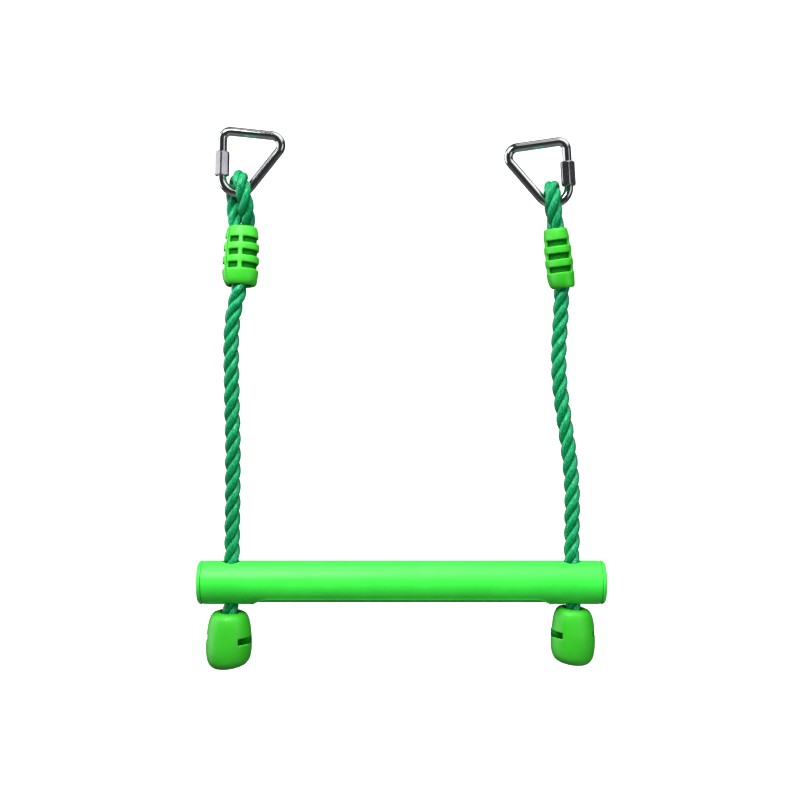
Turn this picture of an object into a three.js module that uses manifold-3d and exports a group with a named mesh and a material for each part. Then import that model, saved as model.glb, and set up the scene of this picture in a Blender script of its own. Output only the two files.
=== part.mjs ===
// A child's trapeze bar: a plastic grip bar on two twisted ropes, each rope ending in a screw-gate link.
// Units are millimetres, +Z is up and +X runs along the bar. The viewer's side, the front, is -Y.
// The origin is midway along the bar, about level with the faces of the two links that a hook bears on.
import * as THREE from "three";
import { mergeVertices } from "three/addons/utils/BufferGeometryUtils.js";
import Module from "manifold-3d";

const wasm = await Module();
wasm.setup();

// ---- Driving dimensions -------------------------------------------------------------------------
const GAP = 0.3; // between pieces that touch
const FAR = 200; // longer than anything that a cutting solid has to pass

const BAR_Z = -324.5; // the bar's axis, below the links' bearing faces
const BAR_LENGTH = 300;
const BAR_RADIUS = 16;
const BAR_WALL = 2.5;
const BAR_SIDES = 40;
const ROPE_HOLE_X = 125.2;
const ROPE_HOLE_RADIUS = 7.1;
const PANEL = { halfLength: 109, halfWidth: 13, depth: 1.1, corner: 12.9 };

const CAP = { flange: 3, edge: 1, spigotLength: 12, spigotWall: 2 };

const ROPE_RADIUS = 5.9;
const EYE_RADIUS = 4.3; // the rope is squeezed where it is doubled inside the clamp
const ROPE_SIDES = 10;

const CLAMP = { height: 44.6, long: 13.4, short: 9.6, wall: 1.3 };
const CLAMP_WINDOW = { height: 4.1, pitch: 9.5, middle: 1.4 };
const CLAMP_LEG = 4.5; // from the clamp's axis to each leg of the rope

const COVER = { height: 41.6, radius: 17.3, wall: 1.8, mouth: 7, sides: 24 };
const COVER_WINDOW = { angle: 67, half: 20.5, height: 4.6, middle: 2 };
const KNOT_RADIUS = 11.6;

const WIRE_RADIUS = 3.3;
const WIRE_SIDES = 12;
const LINK_CORNERS = { top: [49.5, -4.1], rope: [0, -69.2] }; // from the gate corner at [0, 0]
const LINK_BENDS = { gate: 5.7, top: 7.1, rope: 11.9 };
const ROPE_BEND = [11.9, -33.9]; // the middle of the bend that the rope lies in, from the gate corner
const NUT = { flats: 10, length: 17.8, bore: WIRE_RADIUS + GAP, low: -33.4, chamfer: 1 };
const GATE = { lowEnd: -31.2, highEnd: -24 };

// The two sides of the bar. sign is -1 on the left. link is the middle of the bend that its rope lies in.
// lean turns a piece about +Y, nod turns it about +X, and turn is about its own axis. slant is how far a
// knot cover's lower and upper ends fall out of square.
const SIDES = [
  {
    name: "left",
    sign: -1,
    link: { middle: [-120.6, 0, -25.3], lean: 1.2 },
    clamp: { middle: [-118.1, -2.4, -84.5], lean: 1.5, nod: -10, turn: 0 },
    cover: { middle: [-127.2, 1.4, -366.7], lean: 2, nod: 5, turn: 17, slant: [0.14, 0] },
    // The free rope, from inside the bar's upper hole to where it bends just under the clamp.
    rope: [
      [-125.1, 0, -313.7], [-125, -0.1, -304.7], [-124.8, -0.4, -294.6], [-124.7, -0.9, -281.4],
      [-124.4, -1.5, -267.2], [-124.2, -2.2, -252.9], [-124, -3, -238.7], [-123.9, -3.9, -223.5],
      [-124.1, -4.8, -208.2], [-124.3, -5.7, -193], [-124.5, -6.5, -177.8], [-124.7, -7.1, -162.5],
      [-124.6, -7.6, -147.3], [-123.8, -7.8, -134.1], [-122.3, -7.7, -122.9], [-119.8, -7.3, -112.5],
    ],
    // The eye, from the clamp's lower mouth round the link's wire to its tail. These points are in the row
    // frame; the stretch inside the clamp is added by eyeRoute.
    loop: [
      [-113.7, -2.4, -54.9], [-114.2, -7.3, -46.7], [-115.5, -9.4, -37.6], [-117.4, -7.6, -29.7],
      [-119.9, 0, -26],
      [-122.3, 7.4, -29.7], [-123.9, 9.1, -37.6], [-124.3, 7.4, -46.7], [-123.7, 5, -54.9],
    ],
    through: [[-125.2, 0, -317.3], [-125.3, 0, -327.1], [-125.6, 0.1, -338.3], [-126.4, 0.4, -354.2]],
  },
  {
    name: "right",
    sign: 1,
    link: { middle: [111.6, 0, -33.1], lean: -3.5 },
    clamp: { middle: [116, 0.6, -85.6], lean: -7, nod: 4, turn: 74 },
    cover: { middle: [126.4, 1.4, -363.8], lean: 0, nod: 5, turn: -15, slant: [-0.12, -0.1] },
    rope: [
      [125.2, 0, -313.7], [125.5, 0, -304.7], [125.8, 0.1, -292.6], [125.9, 0.2, -278.3],
      [126, 0.4, -264.1], [125.7, 0.6, -251.9], [124.8, 0.8, -239.7], [123.4, 1, -226.5],
      [121.5, 1.3, -213.3], [119.8, 1.6, -201.1], [118.2, 1.9, -188.9], [116.9, 2.1, -175.7],
      [116.3, 2.3, -162.5], [116.5, 2.5, -149.3], [117.4, 2.6, -136.1], [118, 2.6, -124.9],
      [118.2, 2.5, -116.4],
    ],
    loop: [
      [113, -6.2, -57.9], [111.7, -8.2, -50.8], [111, -9.1, -44.5], [110.8, -7.2, -36.8],
      [110.9, 0, -33.3],
      [111.4, 7.2, -36.8], [112.1, 9.1, -44.5], [113, 8, -50.8], [113.8, 6, -57.9],
    ],
    through: [[125.3, 0, -317.3], [125.3, 0, -327.1], [125.5, 0.1, -338.3], [125.8, 0.4, -351.2]],
  },
];

// ---- Materials ----------------------------------------------------------------------------------
const plastic = new THREE.MeshStandardMaterial({ color: 0x43e646, roughness: 0.38, metalness: 0 });
const shellPlastic = new THREE.MeshStandardMaterial({ color: 0x3fdc38, roughness: 0.42, metalness: 0 });
const rope = new THREE.MeshStandardMaterial({ color: 0x0aa353, roughness: 0.45, metalness: 0 });
const steel = new THREE.MeshStandardMaterial({ color: 0xc8cacc, roughness: 0.18, metalness: 1 });

// ---- Solids -------------------------------------------------------------------------------------
const radians = THREE.MathUtils.degToRad;

function solidOf(geometry) {
  const bare = geometry.index ? geometry.toNonIndexed() : geometry.clone();
  for (const name of Object.keys(bare.attributes)) {
    if (name !== "position") bare.deleteAttribute(name);
  }
  const merged = mergeVertices(bare, 1e-4);
  return new wasm.Manifold(
    new wasm.Mesh({
      numProp: 3,
      vertProperties: merged.attributes.position.array,
      triVerts: new Uint32Array(merged.index.array),
    }),
  );
}

function geometryOf(solid) {
  const made = solid.getMesh();
  const geometry = new THREE.BufferGeometry();
  geometry.setAttribute("position", new THREE.BufferAttribute(made.vertProperties, 3));
  geometry.setIndex(new THREE.BufferAttribute(made.triVerts, 1));
  return geometry;
}

// A body of revolution about +Z. The profile is a list of [radius, height] from the bottom up that starts
// and ends on the axis, or that closes on itself.
function turned(profile, sides) {
  const points = profile.map(([radius, height]) => new THREE.Vector2(radius, height));
  return new THREE.LatheGeometry(points, sides).rotateX(Math.PI / 2);
}

function cylinderAlong(axis, radius, length, sides, centre) {
  const geometry = new THREE.CylinderGeometry(radius, radius, length, sides);
  if (axis === "x") geometry.rotateZ(Math.PI / 2);
  if (axis === "z") geometry.rotateX(Math.PI / 2);
  return geometry.translate(...centre);
}

function regularSection(radius, sides) {
  const shape = new THREE.Shape();
  for (let i = 0; i < sides; i++) {
    const angle = ((i + 0.5) / sides) * 2 * Math.PI; // a flat, not a corner, faces each axis
    const point = [radius * Math.cos(angle), radius * Math.sin(angle)];
    if (i) shape.lineTo(...point);
    else shape.moveTo(...point);
  }
  return shape;
}

function tube(curve, radius, sides, step) {
  return new THREE.ExtrudeGeometry(regularSection(radius, sides), {
    steps: Math.round(curve.getLength() / step),
    extrudePath: curve,
    curveSegments: 1,
  });
}

function smoothCurve(points) {
  return new THREE.CatmullRomCurve3(points.map((p) => new THREE.Vector3(...p)), false, "centripetal");
}

// An upright slab seen from above as the slice of a disc between two angles, in degrees. Angle 0 faces the
// front, -Y, and angles grow towards +X.
function slice(from, to, low, high, radius = FAR) {
  const shape = new THREE.Shape();
  const [start, end] = [radians(from - 90), radians(to - 90)];
  shape.moveTo(0, 0);
  shape.lineTo(radius * Math.cos(start), radius * Math.sin(start));
  shape.absarc(0, 0, radius, start, end, false);
  shape.lineTo(0, 0);
  const depth = high - low;
  const geometry = new THREE.ExtrudeGeometry(shape, { depth, bevelEnabled: false, curveSegments: 6 });
  return solidOf(geometry.translate(0, 0, low));
}

// The half of space whose middle direction is angle, less half the gap between the two shells.
function halfSpace(angle) {
  const box = new THREE.BoxGeometry(2 * FAR, FAR, 2 * FAR);
  box.translate(0, -(FAR + GAP) / 2, 0).rotateZ(radians(angle));
  return solidOf(box);
}

// ---- The bar ------------------------------------------------------------------------------------
function barTube() {
  const length = BAR_LENGTH - 2 * CAP.flange - 2 * GAP;
  const inside = BAR_RADIUS - BAR_WALL;
  let body = solidOf(cylinderAlong("x", BAR_RADIUS, length, BAR_SIDES, [0, 0, 0]));
  body = body.subtract(solidOf(cylinderAlong("x", inside, FAR * 2, BAR_SIDES, [0, 0, 0])));
  for (const x of [-ROPE_HOLE_X, ROPE_HOLE_X]) {
    body = body.subtract(solidOf(cylinderAlong("z", ROPE_HOLE_RADIUS, FAR, 24, [x, 0, 0])));
  }
  return geometryOf(body.subtract(panelCutter()));
}

// The shallow panel moulded into the underside: a long plate with rounded corners, as deep everywhere.
function panelCutter() {
  const { halfLength, halfWidth, depth, corner } = PANEL;
  const shape = new THREE.Shape();
  shape.moveTo(-halfLength + corner, -halfWidth);
  shape.absarc(halfLength - corner, -halfWidth + corner, corner, -Math.PI / 2, 0, false);
  shape.absarc(halfLength - corner, halfWidth - corner, corner, 0, Math.PI / 2, false);
  shape.absarc(-halfLength + corner, halfWidth - corner, corner, Math.PI / 2, Math.PI, false);
  shape.absarc(-halfLength + corner, -halfWidth + corner, corner, Math.PI, 1.5 * Math.PI, false);
  const plate = new THREE.ExtrudeGeometry(shape, { depth: BAR_RADIUS, bevelEnabled: false, curveSegments: 5 });
  const floor = cylinderAlong("x", BAR_RADIUS - depth, FAR * 2, BAR_SIDES, [0, 0, 0]);
  return solidOf(plate.translate(0, 0, -2 * BAR_RADIUS + 4)).subtract(solidOf(floor));
}

function endCap(sign) {
  const { flange, edge, spigotLength, spigotWall } = CAP;
  const outer = BAR_RADIUS - BAR_WALL - GAP;
  const inner = outer - spigotWall;
  const profile = [
    [0, -flange],
    [inner, -flange],
    [inner, -spigotLength - flange],
    [outer, -spigotLength - flange],
    [outer, -flange],
    [BAR_RADIUS, -flange],
    [BAR_RADIUS, -edge],
    [BAR_RADIUS - 0.3 * edge, -0.3 * edge],
    [BAR_RADIUS - edge, 0],
    [0, 0],
  ];
  const geometry = turned(profile, BAR_SIDES * 0.8);
  geometry.rotateY((sign * Math.PI) / 2);
  return geometry.translate((sign * BAR_LENGTH) / 2, 0, 0);
}

// ---- The link and its gate nut ------------------------------------------------------------------
// The point on the way from a corner towards another point, at a distance.
function towards(corner, other, distance) {
  return corner.clone().add(other.clone().sub(corner).setLength(distance));
}

// The wire's centreline: from the lower gate end round the rope corner and the top to the upper gate end.
function wirePath(sign) {
  const at = ([x, z]) => new THREE.Vector3(-sign * (x - ROPE_BEND[0]), 0, z - ROPE_BEND[1]);
  const low = at([0, GATE.lowEnd]);
  const high = at([0, GATE.highEnd]);
  const corners = [
    { point: at(LINK_CORNERS.rope), radius: LINK_BENDS.rope },
    { point: at(LINK_CORNERS.top), radius: LINK_BENDS.top },
    { point: at([0, 0]), radius: LINK_BENDS.gate },
  ];
  const path = new THREE.CurvePath();
  let from = low;
  corners.forEach(({ point, radius }, i) => {
    const before = i ? corners[i - 1].point : low;
    const after = i + 1 < corners.length ? corners[i + 1].point : high;
    const back = before.clone().sub(point).normalize();
    const ahead = after.clone().sub(point).normalize();
    const half = back.angleTo(ahead) / 2;
    const start = towards(point, before, radius / Math.tan(half));
    const end = towards(point, after, radius / Math.tan(half));
    const centre = towards(point, point.clone().add(back).add(ahead), radius / Math.sin(half));
    path.add(new THREE.LineCurve3(from, start));
    path.add(new Bend(centre, start, end));
    from = end;
  });
  path.add(new THREE.LineCurve3(from, high));
  return path;
}

// A circular arc between two points about a centre.
class Bend extends THREE.Curve {
  constructor(centre, start, end) {
    super();
    this.centre = centre;
    this.start = start.clone().sub(centre);
    this.axis = this.start.clone().cross(end.clone().sub(centre)).normalize();
    this.sweep = this.start.angleTo(end.clone().sub(centre));
  }
  getPoint(t) {
    return this.start.clone().applyAxisAngle(this.axis, t * this.sweep).add(this.centre);
  }
}

function linkFrame(sign) {
  return tube(wirePath(sign), WIRE_RADIUS, WIRE_SIDES, 4);
}

// The long hexagonal sleeve that bridges the gate, with its ends turned to a chamfer.
function gateNut(sign) {
  const { flats, length, bore, low, chamfer } = NUT;
  const corner = flats / 2 / Math.cos(Math.PI / 6);
  const hexagon = cylinderAlong("z", corner, length, 6, [0, 0, low + length / 2]);
  const envelope = turned(
    [
      [bore, low],
      [flats / 2, low],
      [corner + 0.1, low + chamfer],
      [corner + 0.1, low + length - chamfer],
      [flats / 2, low + length],
      [bore, low + length],
      [bore, low],
    ],
    24,
  );
  const nut = geometryOf(solidOf(hexagon).intersect(solidOf(envelope)));
  return nut.translate(sign * ROPE_BEND[0], 0, -ROPE_BEND[1]);
}

// ---- The rope clamp -----------------------------------------------------------------------------
// The clamp's outer half-width at each height, as shares of CLAMP.long and of half its height.
const CLAMP_PROFILE = [
  [0.6, -1], [0.78, -0.95], [0.92, -0.8], [0.99, -0.56], [1, -0.1], [0.97, 0.36], [0.9, 0.76],
  [0.84, 0.94], [0.79, 1],
];

// A solid barrel from that profile, drawn in by inset and made oval. reach lengthens its ends, for a cutter.
function clampBarrel(inset, reach) {
  const half = CLAMP.height / 2;
  const last = CLAMP_PROFILE.length - 1;
  const outline = CLAMP_PROFILE.map(([share, height], i) => {
    const past = i === 0 ? -reach : i === last ? reach : 0;
    return [Math.max(share * CLAMP.long - inset, CLAMP.wall), height * half + past];
  });
  const profile = [[0, outline[0][1]], ...outline, [0, outline[last][1]]];
  const squeeze = (CLAMP.short - inset) / (CLAMP.long - inset);
  return solidOf(turned(profile, 24).scale(1, squeeze, 1));
}

// One of the two shells. middle is the angle that it faces: each has three wide and three narrow windows.
function clampShell(middle) {
  let shell = clampBarrel(0, 0).subtract(clampBarrel(CLAMP.wall, 1));
  for (const turn of [0, 180]) {
    for (const row of [-1, 0, 1]) {
      const centre = CLAMP_WINDOW.middle + row * CLAMP_WINDOW.pitch;
      const low = centre - CLAMP_WINDOW.height / 2;
      const high = centre + CLAMP_WINDOW.height / 2;
      shell = shell.subtract(slice(turn + 11, turn + 110, low, high));
      shell = shell.subtract(slice(turn - 50, turn - 9, low, high));
    }
  }
  return geometryOf(shell.intersect(halfSpace(middle)));
}

// The free rope. It bends just under the clamp, so its top is a ball about the point that it bends at.
function freeRope(side) {
  const body = tube(smoothCurve(side.rope), ROPE_RADIUS, ROPE_SIDES, 7);
  const ball = new THREE.SphereGeometry(ROPE_RADIUS, 12, 8).translate(...side.rope.at(-1));
  return geometryOf(solidOf(body).add(solidOf(ball)));
}

// The rope's way through the clamp and round the wire, with its tail beside it in the clamp.
function eyeRoute(side) {
  const half = CLAMP.height / 2;
  const place = placement(side.clamp);
  const turn = new THREE.Matrix4().makeRotationZ(-radians(side.clamp.turn));
  // A point along the clamp's long axis at a height from its middle.
  const inside = (along, height) =>
    new THREE.Vector3(along, 0, height * half).applyMatrix4(turn).applyMatrix4(place).toArray();
  const leg = CLAMP_LEG;
  return [
    inside(0, -1),
    inside(0.4, -0.8),
    inside(2.4, -0.5),
    inside(leg - 0.4, -0.2),
    inside(leg, 0.3),
    inside(leg, 1),
    ...side.loop,
    inside(-leg, 1),
    inside(-leg, 0.3),
    inside(-leg, -0.06),
  ];
}

// ---- The knot cover -----------------------------------------------------------------------------
const COVER_PROFILE = [
  [0, -1], [0.48, -1], [0.7, -0.94], [0.88, -0.78], [0.975, -0.5], [1, -0.12], [0.98, 0.24],
  [0.91, 0.62], [0.84, 0.84], [0.75, 0.96], [0.66, 1], [0, 1],
];

// A solid barrel from that profile, drawn in by inset, with its lower and upper ends tipped by slant.
function coverBarrel(inset, { slant, turn }) {
  const half = COVER.height / 2 - inset;
  const profile = COVER_PROFILE.map(([share, height]) => [
    share && Math.max(share * COVER.radius - inset, 1),
    height * half,
  ]);
  const barrel = turned(profile, COVER.sides).rotateZ(-radians(turn));
  const points = barrel.attributes.position;
  for (let i = 0; i < points.count; i++) {
    const end = points.getZ(i) / half;
    points.setZ(i, points.getZ(i) + slant[end < 0 ? 0 : 1] * points.getX(i) * end * end);
  }
  return solidOf(barrel.rotateZ(radians(turn)));
}

// The hollow pod that both shells are cut from.
function coverPod(spot) {
  const mouth = cylinderAlong("z", COVER.mouth, COVER.height, 20, [0, 0, COVER.height / 2]);
  return coverBarrel(0, spot).subtract(coverBarrel(COVER.wall, spot)).subtract(solidOf(mouth));
}

// The front shell has a window near each edge, for the back shell's snap tabs.
function coverFront(spot) {
  const { angle, half, height, middle } = COVER_WINDOW;
  let shell = coverPod(spot).intersect(halfSpace(0));
  for (const side of [-1, 1]) {
    const centre = side * angle;
    shell = shell.subtract(slice(centre - half, centre + half, middle - height / 2, middle + height / 2));
  }
  return geometryOf(shell);
}

// Each tab is rooted in the back shell's wall and lies inside the front shell, behind its window.
function coverBack(spot) {
  const { angle, half, height, middle } = COVER_WINDOW;
  const [low, high] = [middle - height / 2 + 0.6, middle + height / 2 - 0.6];
  const outside = COVER.radius - COVER.wall - 0.9;
  const inside = outside - 1.3;
  const root = COVER.radius - COVER.wall / 2;
  let shell = coverPod(spot).intersect(halfSpace(180));
  for (const side of [-1, 1]) {
    const ends = (near, far) => (side > 0 ? [near, far] : [-far, -near]);
    const tab = slice(...ends(angle - half + 2, 101), low, high, outside);
    const block = slice(...ends(92, 101), low, high, root);
    const bore = solidOf(cylinderAlong("z", inside, COVER.height, 40, [0, 0, 0]));
    shell = shell.add(tab.add(block).subtract(bore));
  }
  return geometryOf(shell);
}

// The stopper knot as the lump it pulls down to: three humps of rope one above another.
function stopperKnot() {
  const waist = KNOT_RADIUS * 0.86;
  const profile = [
    [0, -13], [7.5, -13], [KNOT_RADIUS - 1, -10.5], [KNOT_RADIUS, -8], [waist, -4.2],
    [KNOT_RADIUS, 0], [waist, 4.2], [KNOT_RADIUS, 8], [KNOT_RADIUS - 1.4, 11], [6.4, 13.5], [0, 13.5],
  ];
  return turned(profile, 20);
}

// ---- Assembly -----------------------------------------------------------------------------------
// Where a clamp or a cover sits: turned about its own axis, then leaned and nodded, then moved.
function placement({ middle, lean, nod }) {
  const angles = new THREE.Euler(radians(nod), radians(lean), 0, "XYZ");
  return new THREE.Matrix4().makeRotationFromEuler(angles).setPosition(...middle);
}

const trapeze = new THREE.Group();

function add(name, geometry, material, parent = trapeze) {
  const mesh = new THREE.Mesh(geometry, material);
  mesh.name = name;
  parent.add(mesh);
  return mesh;
}

// A group that stands where a clamp or a cover does, for the pieces that are made about its axis.
function seat(spot) {
  const group = new THREE.Group();
  group.applyMatrix4(placement(spot));
  const turn = new THREE.Group();
  turn.rotation.z = -radians(spot.turn);
  trapeze.add(group);
  group.add(turn);
  return { group, turn };
}

const bar = new THREE.Group();
bar.position.z = BAR_Z;
trapeze.add(bar);
add("bar_tube", barTube(), plastic, bar);

for (const side of SIDES) {
  const { name, sign } = side;
  add(`${name}_end_cap`, endCap(sign), plastic, bar);

  const link = new THREE.Group();
  link.position.set(...side.link.middle);
  link.rotation.y = radians(side.link.lean);
  trapeze.add(link);
  add(`${name}_link_frame`, linkFrame(sign), steel, link);
  add(`${name}_link_nut`, gateNut(sign), steel, link);

  add(`${name}_rope`, freeRope(side), rope);
  add(`${name}_rope_eye`, tube(smoothCurve(eyeRoute(side)), EYE_RADIUS, ROPE_SIDES, 4), rope);
  add(`${name}_rope_through_bar`, tube(smoothCurve(side.through), ROPE_RADIUS, ROPE_SIDES, 7), rope);

  const clamp = seat(side.clamp);
  add(`${name}_clamp_front_shell`, clampShell(32), shellPlastic, clamp.turn);
  add(`${name}_clamp_back_shell`, clampShell(212), shellPlastic, clamp.turn);

  const cover = seat(side.cover);
  add(`${name}_knot_cover_front_shell`, coverFront(side.cover), shellPlastic, cover.turn);
  add(`${name}_knot_cover_back_shell`, coverBack(side.cover), shellPlastic, cover.turn);
  const knot = add(`${name}_stopper_knot`, stopperKnot(), rope, cover.group);
  knot.position.z = -2;
}

export default trapeze;
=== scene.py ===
"""A child's trapeze bar: a green grip bar on two twisted ropes, hung by two screw-gate links.

Shapes are worked out in millimetres and put into Blender in metres, in the frame of the CAD model:
+Z up, +X along the bar, and the front of the object towards -Y. Angles are in degrees in the
named values. On a shell they run round its own axis from the front, positive towards +X.
"""

import math

import bmesh
import bpy
import numpy as np
from mathutils import Matrix, Vector


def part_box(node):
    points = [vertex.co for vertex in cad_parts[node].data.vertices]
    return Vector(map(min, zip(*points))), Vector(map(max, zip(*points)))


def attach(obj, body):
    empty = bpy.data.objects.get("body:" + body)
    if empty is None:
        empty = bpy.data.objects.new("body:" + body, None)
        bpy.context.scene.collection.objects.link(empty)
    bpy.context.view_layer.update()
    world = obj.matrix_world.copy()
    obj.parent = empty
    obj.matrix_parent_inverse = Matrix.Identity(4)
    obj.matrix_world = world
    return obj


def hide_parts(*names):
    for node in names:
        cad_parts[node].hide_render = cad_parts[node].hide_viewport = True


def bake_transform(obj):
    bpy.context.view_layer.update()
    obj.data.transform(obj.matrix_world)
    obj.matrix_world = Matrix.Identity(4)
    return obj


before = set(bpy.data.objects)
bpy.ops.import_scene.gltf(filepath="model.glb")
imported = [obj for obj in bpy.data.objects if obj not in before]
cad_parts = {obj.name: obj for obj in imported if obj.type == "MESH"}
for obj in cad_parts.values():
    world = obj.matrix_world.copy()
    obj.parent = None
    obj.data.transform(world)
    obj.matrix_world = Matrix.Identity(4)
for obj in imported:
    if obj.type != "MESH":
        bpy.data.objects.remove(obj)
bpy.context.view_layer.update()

MM = 0.001
SIDES = ("left", "right")

# ---- Where things are, as the CAD model has them, in millimetres ---------------------------------
tube_low, tube_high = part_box("bar_tube")
BAR_Z = (tube_low[2] + tube_high[2]) / 2 / MM
BAR_RADIUS = (tube_high[2] - tube_low[2]) / 2 / MM
BAR_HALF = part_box("right_end_cap")[1][0] / MM
BAR_WALL = 2.5
HOLE_X = 125.2
HOLE_RADIUS = 7.1

ROPE_RADIUS = 6.0
LAY = 35.6  # one turn of a strand round the rope
CLAMP_HEIGHT = 44.6

LINK = {
    "left": {"middle": (-120.6, 0, -25.3), "lean": 1.2, "inward": 1},
    "right": {"middle": (111.6, 0, -33.1), "lean": -3.5, "inward": -1},
}
CLAMP_AT = {
    "left": {"middle": (-118.1, -2.4, -84.5), "lean": 1.5, "nod": -10, "turn": 0},
    "right": {"middle": (116, 0.6, -85.6), "lean": -7, "nod": 4, "turn": 74},
}
COVER_AT = {
    "left": {"middle": (-127.2, 1.4, -366.7), "lean": 2, "nod": 5, "turn": 17},
    "right": {"middle": (126.4, 1.4, -363.8), "lean": 0, "nod": 5, "turn": -12},
}
# How far a cover's lower and upper ends fall out of square, as slopes.
COVER_SLANT = {"left": (0.14, 0), "right": (-0.12, -0.1)}
ROPE_ROUTE = {
    "left": [
        (-125.1, 0, -313.7), (-125, -0.1, -304.7), (-124.8, -0.4, -294.6),
        (-124.7, -0.9, -281.4), (-124.4, -1.5, -267.2), (-124.2, -2.2, -252.9),
        (-124, -3, -238.7), (-123.9, -3.9, -223.5), (-124.1, -4.8, -208.2),
        (-124.3, -5.7, -193), (-124.5, -6.5, -177.8), (-124.7, -7.1, -162.5),
        (-124.6, -7.6, -147.3), (-123.8, -7.8, -134.1), (-122.3, -7.7, -122.9),
        (-119.8, -7.3, -112.5),
    ],
    "right": [
        (125.2, 0, -313.7), (125.5, 0, -304.7), (125.8, 0.1, -292.6), (125.9, 0.2, -278.3),
        (126, 0.4, -264.1), (125.7, 0.6, -251.9), (124.8, 0.8, -239.7), (123.4, 1, -226.5),
        (121.5, 1.3, -213.3), (119.8, 1.6, -201.1), (118.2, 1.9, -188.9), (116.9, 2.1, -175.7),
        (116.3, 2.3, -162.5), (116.5, 2.5, -149.3), (117.4, 2.6, -136.1), (118, 2.6, -124.9),
        (118.2, 2.5, -116.4),
    ],
}
EYE_LOOP = {
    "left": [
        (-113.7, -2.4, -54.9), (-114.2, -7.3, -46.7), (-115.5, -9.4, -37.6), (-117.4, -7.6, -29.7),
        (-119.4, 0, -26), (-121, 5, -27), (-123.9, 9.2, -31.2), (-124.8, 10.2, -37.6),
        (-124.3, 7.8, -46.7), (-123.7, 5, -54.9),
    ],
    "right": [
        (113, -6.2, -57.9), (111.7, -8.2, -50.8), (111, -9.1, -44.5), (110.8, -7.2, -36.8),
        (110.9, 0, -33.3), (111.4, 7.2, -36.8), (112.1, 9.1, -44.5), (113, 8, -50.8),
        (113.8, 6, -57.9),
    ],
}
THROUGH_BAR = {
    "left": [(-125.2, 0, -318.3), (-125.3, 0, -327.1), (-125.9, 0, -338.3)],
    "right": [(125.3, 0, -318.3), (125.5, 0, -327.1), (126.0, 0, -336.3)],
}


# ---- Mesh helpers --------------------------------------------------------------------------------
def make_object(name, vertices, faces, material):
    """A smooth-shaded object from vertices in millimetres."""
    mesh = bpy.data.meshes.new(name)
    mesh.from_pydata([tuple(v) for v in np.asarray(vertices, float) * MM], [], faces)
    mesh.validate()
    mesh.materials.append(material)
    mesh.shade_smooth()
    obj = bpy.data.objects.new(name, mesh)
    bpy.context.scene.collection.objects.link(obj)
    return obj


def applied(obj):
    """The object with its modifiers worked into its mesh."""
    graph = bpy.context.evaluated_depsgraph_get()
    made = bpy.data.meshes.new_from_object(obj.evaluated_get(graph))
    old = obj.data
    obj.modifiers.clear()
    obj.data = made
    made.name = old.name
    bpy.data.meshes.remove(old)
    return obj


def recalculated(obj):
    """The object with its faces all turned outwards."""
    work = bmesh.new()
    work.from_mesh(obj.data)
    bmesh.ops.recalc_face_normals(work, faces=work.faces)
    work.to_mesh(obj.data)
    work.free()
    return obj


def placed(points, spot):
    """Points made about a piece's own axis, put where the piece is."""
    points = np.asarray(points, float)
    turn = (
        Matrix.Translation(spot["middle"])
        @ Matrix.Rotation(math.radians(spot["nod"]), 4, "X")
        @ Matrix.Rotation(math.radians(spot["lean"]), 4, "Y")
        @ Matrix.Rotation(-math.radians(spot["turn"]), 4, "Z")
    )
    m = np.array(turn)
    return points @ m[:3, :3].T + m[:3, 3]


def spans(breaks, step):
    """Values from the first break to the last that meet every break, no more than step apart."""
    out = [breaks[0]]
    for low, high in zip(breaks, breaks[1:]):
        count = max(1, math.ceil((high - low) / step - 1e-6))
        out += [low + (high - low) * (i + 1) / count for i in range(count)]
    return np.array(out)


def climbed(value, low, high):
    """How far a value has come from low to high, from 0 to 1."""
    return min(max((value - low) / (high - low), 0), 1)


def eased(share):
    """The same share with a gentle start and end."""
    return share * share * (3 - 2 * share)


# ---- Curves and sweeps ---------------------------------------------------------------------------
def smooth_curve(points, step):
    """Points about step apart on the centripetal Catmull-Rom curve through the given points."""
    p = np.array(points, float)
    p = np.vstack([2 * p[0] - p[1], p, 2 * p[-1] - p[-2]])
    out = []
    for i in range(1, len(p) - 2):
        a, b, c, d = p[i - 1 : i + 3]
        t0, t1 = 0.0, np.linalg.norm(b - a) ** 0.5
        t2 = t1 + np.linalg.norm(c - b) ** 0.5
        t3 = t2 + np.linalg.norm(d - c) ** 0.5
        for t in np.linspace(t1, t2, 24, endpoint=False):
            ab = (t1 - t) / (t1 - t0) * a + (t - t0) / (t1 - t0) * b
            bc = (t2 - t) / (t2 - t1) * b + (t - t1) / (t2 - t1) * c
            cd = (t3 - t) / (t3 - t2) * c + (t - t2) / (t3 - t2) * d
            abc = (t2 - t) / (t2 - t0) * ab + (t - t0) / (t2 - t0) * bc
            bcd = (t3 - t) / (t3 - t1) * bc + (t - t1) / (t3 - t1) * cd
            out.append((t2 - t) / (t2 - t1) * abc + (t - t1) / (t2 - t1) * bcd)
    out.append(p[-2])
    return even(np.array(out), step)


def even(path, step):
    """The same path with its points evenly spaced."""
    gaps = np.linalg.norm(np.diff(path, axis=0), axis=1)
    along = np.concatenate([[0], np.cumsum(gaps)])
    wanted = np.linspace(0, along[-1], max(2, round(along[-1] / step) + 1))
    return np.stack([np.interp(wanted, along, path[:, k]) for k in range(3)], axis=1)


def along_of(path):
    """The distance along the path at each of its points."""
    gaps = np.linalg.norm(np.diff(path, axis=0), axis=1)
    return np.concatenate([[0], np.cumsum(gaps)])


def unit(v):
    return v / np.linalg.norm(v, axis=-1, keepdims=True)


def carried_frames(path, first=(1, 0, 0)):
    """Tangent, normal and binormal along the path, the normal carried along without twisting."""
    tangent = unit(np.gradient(path, axis=0))
    normal = np.zeros_like(path)
    n = np.array(first, float)
    for i, t in enumerate(tangent):
        n = n - t * np.dot(n, t)
        n /= np.linalg.norm(n)
        normal[i] = n
    return tangent, normal, np.cross(tangent, normal)


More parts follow.
